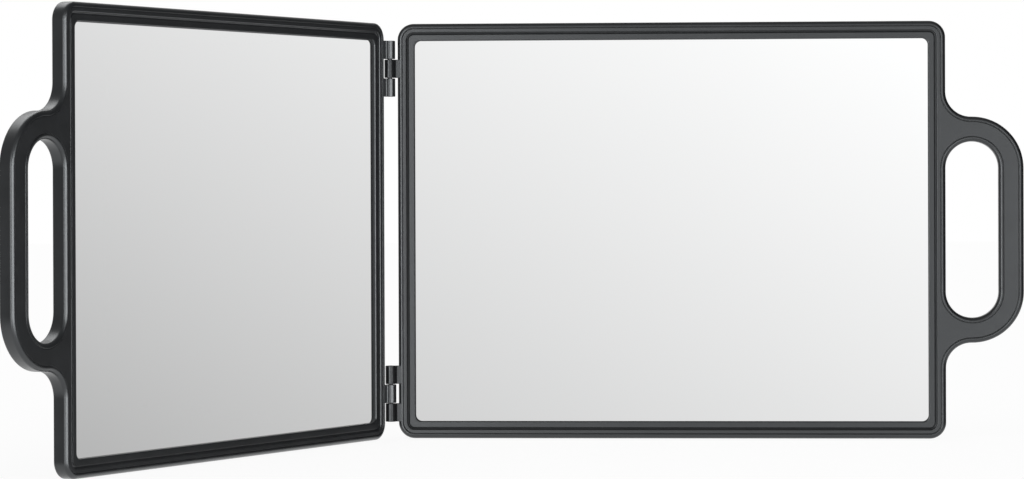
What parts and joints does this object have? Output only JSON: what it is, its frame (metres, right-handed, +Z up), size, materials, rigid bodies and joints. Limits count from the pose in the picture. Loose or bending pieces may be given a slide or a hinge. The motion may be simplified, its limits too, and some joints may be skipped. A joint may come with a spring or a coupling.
{
  "type": "folding two-wing hand mirror",
  "caption": "Folding hand mirror of two rectangular black framed wings on a pair of knuckle hinges, with a D-shaped grip at each outer end; stands on its long edges.",
  "frame": {"origin": "middle of the lower long edge of the right wing's frame, at mid thickness, on the surface that the mirror stands on", "axes": "+X along the right wing from its hinge edge towards its grip, +Y from its mirror face to its back, +Z up"},
  "size_m": [0.5001, 0.3269, 0.23],
  "materials": {
    "frame_plastic": "satin black injection moulded ABS",
    "cover_plastic": "fine spark-eroded matt black ABS",
    "mirror_glass": "clear float glass, silvered at the back",
    "foam_pad": "closed-cell grey foam",
    "pin_steel": "drawn steel wire, blackened",
    "screw_steel": "zinc plated steel"
  },
  "bodies": {
    "right_wing": {"right_front_frame": "frame_plastic", "right_mirror_glass": "mirror_glass", "right_backing_pad": "foam_pad", "right_rear_cover": "cover_plastic", "right_cover_screws": "screw_steel", "lower_hinge_pin": "pin_steel"},
    "left_wing": {"left_front_frame": "frame_plastic", "left_mirror_glass": "mirror_glass", "left_backing_pad": "foam_pad", "left_rear_cover": "cover_plastic", "left_cover_screws": "screw_steel", "upper_hinge_pin": "pin_steel"}
  },
  "joints": [
    {"name": "wing_fold", "type": "hinge", "parent": "right_wing", "child": "left_wing", "pos_m": [-0.1554, -0.0047, 0.115], "axis": [0, 0, 1], "range_deg": [-110, 114]}
  ]
}
